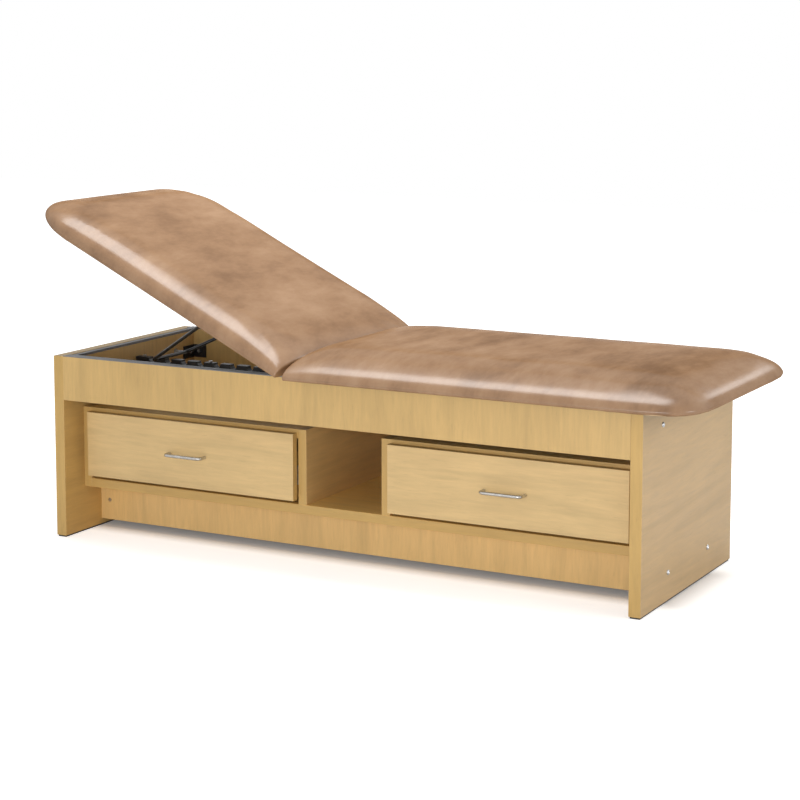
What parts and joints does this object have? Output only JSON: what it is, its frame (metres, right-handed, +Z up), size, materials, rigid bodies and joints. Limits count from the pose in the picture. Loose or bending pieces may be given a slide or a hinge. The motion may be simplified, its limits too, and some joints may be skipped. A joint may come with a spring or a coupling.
{
  "type": "spa bed with cabinet base",
  "caption": "Treatment bed: tan padded seat and raised hinged backrest on a maple-look cabinet base with notched prop rack, drawers and an open compartment.",
  "frame": {"origin": "on the floor below the middle of the whole bed, with the backrest raised as pictured", "axes": "+X from the head end to the foot end, drawers open towards -Y, +Z up"},
  "size_m": [1.739, 0.686, 0.844],
  "materials": {
    "maple_laminate": "satin laminate",
    "plywood": "unfinished",
    "tan_vinyl": "soft satin upholstery",
    "dust_cloth": "matt",
    "grey_strip": "satin",
    "black_glide": "matt",
    "black_paint": "satin black",
    "zinc_plate": "zinc plated",
    "satin_nickel": "satin nickel"
  },
  "bodies": {
    "base": {"end_panel_left": "maple_laminate", "end_panel_right": "maple_laminate", "front_apron": "maple_laminate", "back_apron": "maple_laminate", "head_end_rail": "maple_laminate", "foot_end_rail": "maple_laminate", "hinge_rail": "maple_laminate", "front_kick_board": "maple_laminate", "rear_kick_board": "maple_laminate", "bottom_board": "maple_laminate", "left_cabinet_side": "maple_laminate", "left_divider": "maple_laminate", "right_divider": "maple_laminate", "right_cabinet_side": "maple_laminate", "left_cabinet_top": "maple_laminate", "right_cabinet_top": "maple_laminate", "seat_board": "plywood", "cabinet_back": "plywood", "rack_rail": "plywood", "seat_cushion": "tan_vinyl", "seat_dust_cover": "dust_cloth", "rim_strips": "grey_strip", "floor_glides": "black_glide", "rack": "black_paint", "corner_brackets": "black_paint", "seat_brackets": "black_paint", "seat_hinge_leaves": "black_paint", "end_panel_bolts": "zinc_plate", "barrel_nuts": "zinc_plate", "end_bolt_nuts": "zinc_plate", "bracket_screws": "zinc_plate", "rack_screws": "zinc_plate", "seat_screws": "zinc_plate", "hinge_pins": "zinc_plate", "left_cabinet_runners": "zinc_plate", "right_cabinet_runners": "zinc_plate"},
    "backrest": {"backrest_board": "plywood", "backrest_cushion": "tan_vinyl", "backrest_dust_cover": "dust_cloth", "backrest_hinge_leaves": "black_paint", "prop_brackets": "black_paint", "backrest_screws": "zinc_plate"},
    "prop": {"prop_frame": "black_paint", "prop_clips": "black_paint"},
    "left_drawer": {"left_drawer_front": "maple_laminate", "left_drawer_sides": "maple_laminate", "left_drawer_back": "maple_laminate", "left_drawer_bottom": "plywood", "left_drawer_handle": "satin_nickel", "left_drawer_handle_screws": "zinc_plate", "left_drawer_runners": "zinc_plate"},
    "right_drawer": {"right_drawer_front": "maple_laminate", "right_drawer_sides": "maple_laminate", "right_drawer_back": "maple_laminate", "right_drawer_bottom": "plywood", "right_drawer_handle": "satin_nickel", "right_drawer_handle_screws": "zinc_plate", "right_drawer_runners": "zinc_plate"},
    "left_middle_runner": {"left_middle_runners": "zinc_plate"},
    "right_middle_runner": {"right_middle_runners": "zinc_plate"}
  },
  "joints": [
    {"name": "backrest_tilt", "type": "hinge", "parent": "base", "child": "backrest", "pos_m": [-0.14152, 0, 0.454], "axis": [0, 1, 0], "range_deg": [-26.1, 36.34]},
    {"name": "prop_swing", "type": "hinge", "parent": "backrest", "child": "prop", "pos_m": [-0.41358, 0, 0.56167], "axis": [0, 1, 0], "range_deg": [-72.68, 52.2]},
    {"name": "left_drawer_slide", "type": "slide", "parent": "base", "child": "left_drawer", "axis": [0, -1, 0], "range_m": [0, 0.4]},
    {"name": "left_middle_runner_slide", "type": "slide", "parent": "base", "child": "left_middle_runner", "axis": [0, -1, 0], "range_m": [0, 0.2]},
    {"name": "right_drawer_slide", "type": "slide", "parent": "base", "child": "right_drawer", "axis": [0, -1, 0], "range_m": [0, 0.4]},
    {"name": "right_middle_runner_slide", "type": "slide", "parent": "base", "child": "right_middle_runner", "axis": [0, -1, 0], "range_m": [0, 0.2]}
  ],
  "couplings": [
    {"joint": "prop_swing", "follows": "backrest_tilt", "ratio": -2},
    {"joint": "left_middle_runner_slide", "follows": "left_drawer_slide", "ratio": 0.5},
    {"joint": "right_middle_runner_slide", "follows": "right_drawer_slide", "ratio": 0.5}
  ]
}
